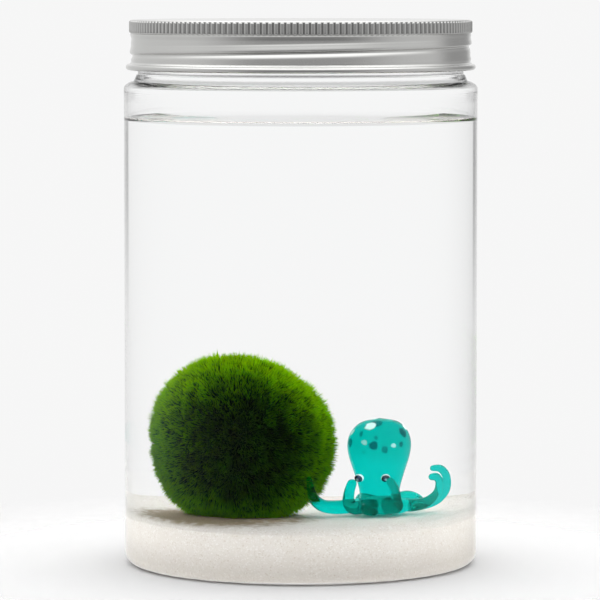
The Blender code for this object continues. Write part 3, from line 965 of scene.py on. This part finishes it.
octopusArms = {
    "far_left": (
        (12.5, -9.5, 15.9, 1.6), (9.0, -11.5, 15.6, 1.7), (6.2, -13.6, 15.7, 1.65),
        (4.1, -17.0, 16.6, 1.45), (2.6, -21.0, 18.7, 1.15), (2.0, -24.4, 21.4, 0.85),
        (1.8, -26.3, 23.6, 0.65)),
    "front_left": (
        (12.8, -11.5, 15.6, 1.7), (10.6, -14.2, 15.6, 1.6), (9.6, -15.2, 17.2, 1.25),
        (9.7, -15.0, 19.4, 1.1), (10.2, -14.3, 21.4, 1.0)),
    "front_curl": (
        (14.0, -12.0, 15.7, 1.5), (13.2, -15.0, 15.6, 1.35), (13.6, -17.4, 15.3, 1.25),
        (15.0, -18.2, 15.0, 1.0)),
    "front_right": (
        (17.6, -11.0, 15.7, 1.8), (19.2, -14.6, 15.8, 1.7), (19.6, -16.2, 17.4, 1.2),
        (19.3, -16.7, 19.8, 1.05), (18.4, -16.9, 22.0, 0.9)),
    "near_right": (
        (18.5, -10.5, 15.8, 1.6), (22.5, -12.0, 15.7, 1.5), (25.8, -12.4, 16.4, 1.3),
        (28.3, -12.4, 18.4, 1.1), (28.9, -12.3, 20.9, 1.0), (28.2, -12.2, 22.3, 0.95),
        (27.0, -12.2, 22.4, 0.85)),
    "far_right": (
        (19.0, -8.5, 15.8, 1.5), (23.5, -7.0, 15.5, 1.45), (26.8, -6.2, 16.5, 1.3),
        (28.9, -6.0, 18.9, 1.15), (29.0, -6.0, 21.8, 1.0), (27.6, -6.0, 23.7, 0.9),
        (25.9, -6.0, 23.9, 0.75)),
    "back_left": (
        (14.0, -7.5, 16.4, 1.6), (12.0, -4.8, 17.0, 1.45), (11.4, -2.2, 15.9, 1.3), (12.6, 0.2, 14.9, 0.9)),
    "back_right": (
        (17.8, -6.8, 16.4, 1.6), (20.2, -4.4, 17.1, 1.45), (21.8, -2.0, 15.9, 1.3), (21.0, 0.6, 14.9, 0.9)),
}


def roundEnd(tip, before):
    # the last rings past a tube's tip, outwards, as (x, y, z, radius)
    place, radius = Vector(tip[:3]), tip[3]
    out = (place - Vector(before[:3])).normalized() * radius
    return [(*(place + out * reach), radius * share)
            for reach, share in ((0.5, 0.87), (0.87, 0.5), (0.98, 0.2))]


def addTube(bm, points):
    # a round tapering tube with closed round ends, added to bm
    angles = [math.tau * k / octopusLook["armSides"] for k in range(octopusLook["armSides"])]
    route = smoothRoute(points, 8)
    route = roundEnd(*route[:2])[::-1] + route + roundEnd(*route[:-3:-1])
    centres = [Vector(p[:3]) for p in route]
    side = Vector((0, 0, 1))
    rings = []
    for i, centre in enumerate(centres):
        ahead = (centres[min(i + 1, len(centres) - 1)] - centres[max(i - 1, 0)]).normalized()
        side = (side - ahead * side.dot(ahead)).normalized()
        across = ahead.cross(side)
        spots = [centre + (side * math.cos(a) + across * math.sin(a)) * route[i][3] for a in angles]
        rings.append([bm.verts.new(spot * mm) for spot in spots])
    skin(bm, rings)


def addArms(bm, front):
    for name, points in octopusArms.items():
        if name.startswith("front") == front:
            addTube(bm, points)


def headFront(x, z):
    # the place on the head's front at this x and height
    outline = octopusLook["headOutline"]
    for (r0, z0), (r1, z1) in zip(outline, outline[1:]):
        if z0 <= z <= z1:
            radius = between(r0, r1, (z - z0) / (z1 - z0))
    headX, headY = octopusLook["headPlace"]
    return inMetres((x, headY - math.sqrt(max(radius ** 2 - (x - headX) ** 2, 0.0)), z))


def spotMask(board, spots):
    # 1 in the middle of each spot, with an uneven soft edge
    place = board.here()
    ragged = (board.noise(place, 900.0, 1.0) - 0.5) * 0.0009
    mask = None
    for x, z, radius, strength in spots:
        away = (place - headFront(x, z)).length() + ragged
        spot = (1.0 - away.within(radius * 0.85 * mm, radius * 1.3 * mm)) * strength
        mask = spot if mask is None else mask.work("MAXIMUM", spot)
    return mask


def makeOctopusGlass():
    look = octopusLook
    material, board = newMaterial("turquoiseGlass")
    thick = board.here().split()[2].within(*inMetres(look["deepFrom"]))
    color = board.mixColor(thick, look["glass"], look["deepGlass"])
    color = board.mixColor(spotMask(board, look["darkSpots"]), color, look["darkSpot"])
    glass = board.principled(Base_Color=color, Roughness=0.02, IOR=look["ior"], Transmission_Weight=1.0)
    enamel = board.principled(Base_Color=look["whiteSpot"], Roughness=0.3)
    finishMaterial(board, board.mixShader(spotMask(board, look["whiteSpots"]), glass, enamel))
    return material


def fuse(bm, fineness):
    # melts overlapping closed shapes into one smooth skin
    piece = addPiece("molten", finishShape(bm, "molten", 180.0))
    melt = piece.modifiers.new("melt", "REMESH")
    melt.mode = "VOXEL"
    melt.voxel_size = fineness * mm
    soften = piece.modifiers.new("soften", "SMOOTH")
    soften.factor = 0.5
    soften.iterations = 8
    mesh = readMesh(piece)
    discard(piece)
    return mesh


def makeOctopus():
    look = octopusLook
    bm = bmesh.new()
    addArms(bm, front=False)
    place = Matrix.Translation(Vector(look["webCentre"]) * mm) @ Matrix.Diagonal((*look["webRadii"], 1.0))
    bmesh.ops.create_uvsphere(bm, u_segments=40, v_segments=20, radius=mm, matrix=place)
    body = fuse(bm, look["melt"])
    # the front arms and the head are separate gathers of glass, pressed on
    bm = bmesh.new()
    addArms(bm, front=True)
    outline = smoothRoute(look["headOutline"], 4)
    headMesh = turned("octopusHead", [(0.0, outline[0][1]), *outline[:-1], (0.0, outline[-1][1])], 48)
    headMesh.transform(Matrix.Translation((*inMetres(look["headPlace"]), 0)))
    bm.from_mesh(headMesh)
    faceOut(bm)
    bm.from_mesh(body)
    floor = (sandLook["top"] + 0.25) * mm
    for vert in bm.verts:
        vert.co.z = max(vert.co.z, floor)
    piece = addPiece("glass_octopus", finishShape(bm, "octopus", 80.0), makeOctopusGlass())
    settle(piece, "root", "turquoise_glass", "octopus")


eyeLook = {
    "pupil": (0.004, 0.018, 0.045),
    "white": (0.80, 0.88, 0.90),
    "glint": (0.22, 0.30, 0.36),
    "pupilReach": 1.18,  # radius of the pupil, in eye radii
    "glintReach": 0.30,
    "pupilDrop": 0.55,  # how far it looks down
}


def makeEyes():
    # white glass beads with a dark pupil that looks forwards and a little down
    look = eyeLook
    head = Vector((*inMetres(octopusLook["headPlace"]), 0))
    for node in ("octopus_eye_left", "octopus_eye_right"):
        low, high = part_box(node)
        centre, radius = (low + high) / 2, (high - low).z / 2
        forward = (centre - head) * Vector((1, 1, 0))
        forward = (forward.normalized() + Vector((0, -0.6, -look["pupilDrop"]))).normalized()
        bm = bmesh.new()
        place = Matrix.Translation(centre)
        bmesh.ops.create_uvsphere(bm, u_segments=32, v_segments=20, radius=radius, matrix=place)
        material, board = newMaterial(node.replace("octopus_eye", "eyeGlass"))
        away = (board.here() - tuple(centre + forward * radius)).length()
        reach = look["pupilReach"] * radius
        color = board.mixColor(away.within(reach * 0.92, reach * 1.08), look["pupil"], look["white"])
        spot = look["glintReach"] * radius
        color = board.mixColor(away.within(spot * 0.5, spot * 1.5), look["glint"], color)
        finishMaterial(board, Base_Color=color, Roughness=0.06, Coat_Weight=0.5)
        settle(addPiece("glass_" + node, finishShape(bm, node), material), "root", "dark_glass", node)


makeOctopus()
makeEyes()
print("octopus made")


studio = {
    "backdrop": 0.925,
    "beyondBackdrop": 0.12,  # what is left and right of it, high up
    "floorRadius": 3.0,
    "fadeFrom": 0.05,
    "fadeTo": 0.14,
    "floor": (0.236, 0.236, 0.236),
    # what polished things see
    "front": 0.40,
    "left": 0.72,
    "right": 0.66,
    "strip": 0.30,  # a dim strip behind on the right
    "behind": 0.90,
    "overhead": 1.15,
    "overheadFall": 0.8,  # how much dimmer the ceiling is away from the front
    "below": 0.20,
    "belowSides": 0.62,
    "straightDown": 0.60,
    # what lights matt things
    "mattFront": 2.05,
    "mattBack": 4.5,
    "mattOverhead": 2.2,
    "throughGlints": 0.78,  # what light turned inside clear things sees
    # where each change begins and ends, in radians round from the front
    "toSide": (0.35, 1.45),
    "toRight": (-0.2, 0.2),
    "stripFrom": (1.75, 2.15),
    "stripTo": (2.7, 3.0),
    "toBehind": (2.6, 3.05),
    "lowToSide": (0.4, 1.3),
    # and in the upward share of the direction
    "toLevel": (-0.45, -0.02),
    "toDown": (-0.9, -0.65),
    "toOverhead": (0.10, 0.72),
    "toCeiling": (0.4, 0.85),
}
cameraPlace = {
    "distance": 0.984,
    "height": 0.1407,
    "side": -0.00017,
    "lookDown": 4.494,
    "lens": 245.3,
}


def makeFloor():
    look = studio
    bm = bmesh.new()
    bmesh.ops.create_circle(bm, cap_ends=True, segments=96, radius=look["floorRadius"],
                            matrix=Matrix.Translation((0, 0, -0.0002)))
    material, board = newMaterial("paleFloor")
    fade = board.here().length().within(look["fadeFrom"], look["fadeTo"])
    paper = board.add("ShaderNodeBsdfDiffuse", {}, {"Color": look["floor"]})
    clear = board.add("ShaderNodeBsdfTransparent")
    finishMaterial(board, board.mixShader(fade.work("MAXIMUM", board.ray("Is Glossy Ray")), paper, clear))
    addPiece("floor", finishShape(bm, "floor"), material)


def makeWorld():
    look = studio
    world = bpy.data.worlds.new("studio")
    scene.world = world
    world.use_nodes = True
    world.cycles.sampling_method = "NONE"
    world.node_tree.nodes.clear()
    board = Board(world.node_tree)
    x, y, z = board.add("ShaderNodeTexCoord", {}, {}, "Generated").split()
    # polished things see a dim front, bright sides and a lit ceiling
    around = x.work("ARCTAN2", -y)
    turn = around.work("ABSOLUTE")
    side = between(look["left"], look["right"], around.within(*look["toRight"]))
    strip = around.within(*look["stripFrom"]) * (1.0 - around.within(*look["stripTo"])) * look["strip"]
    level = between(look["front"], side, turn.within(*look["toSide"])) - strip
    level = between(level, look["behind"], turn.within(*look["toBehind"]))
    sideways = turn.within(*look["lowToSide"])
    below = between(look["below"], look["belowSides"], sideways)
    below = between(look["straightDown"], below, z.within(*look["toDown"]))
    fall = sideways * (1.0 - z.within(*look["toCeiling"])) * look["overheadFall"]
    overhead = z.within(*look["toOverhead"]) * (1.0 - fall) * look["overhead"]
    shine = between(below, level, z.within(*look["toLevel"])) + overhead
    # matt things get an even light, stronger from behind
    matt = between(look["mattFront"], look["mattBack"], y.within(-0.6, 0.6))
    matt = matt + z.within(0.1, 0.9) * look["mattOverhead"]
    isMatt = board.ray("Diffuse Depth").work("GREATER_THAN", 0.5)
    light = between(shine, matt, isMatt)
    # seen directly or through clear things: an even backdrop, dark beyond its upper sides
    beyond = x.work("ABSOLUTE").within(0.83, 0.86) * z.within(-0.095, -0.04) * (1.0 - z.within(0.0, 0.06))
    backdrop = between(look["backdrop"], look["beyondBackdrop"], beyond)
    isTurned = board.ray("Glossy Depth").work("GREATER_THAN", 0.5)
    backdrop = between(backdrop, look["throughGlints"], isTurned)
    isSeen = board.ray("Is Camera Ray") + board.ray("Is Transmission Ray") * (1.0 - isMatt)
    strength = between(light, backdrop, isSeen.work("MINIMUM", 1.0))
    board.add("ShaderNodeOutputWorld", {}, {"Surface": board.add("ShaderNodeBackground", {}, {
        "Color": (1, 1, 1), "Strength": strength})})


def makeCamera():
    place = cameraPlace
    data = bpy.data.cameras.new("camera")
    data.lens = place["lens"]
    data.sensor_width = 36.0
    data.clip_start = 0.05
    camera = addPiece("camera", data)
    camera.location = (place["side"], -place["distance"], place["height"])
    camera.rotation_euler = (math.radians(90 - place["lookDown"]), 0, 0)
    scene.camera = camera


makeFloor()
makeWorld()
makeCamera()
scene.view_settings.view_transform = "Standard"
scene.cycles.max_bounces = 40  # light runs far inside the clear wall
scene.cycles.transmission_bounces = 40
print("studio set")
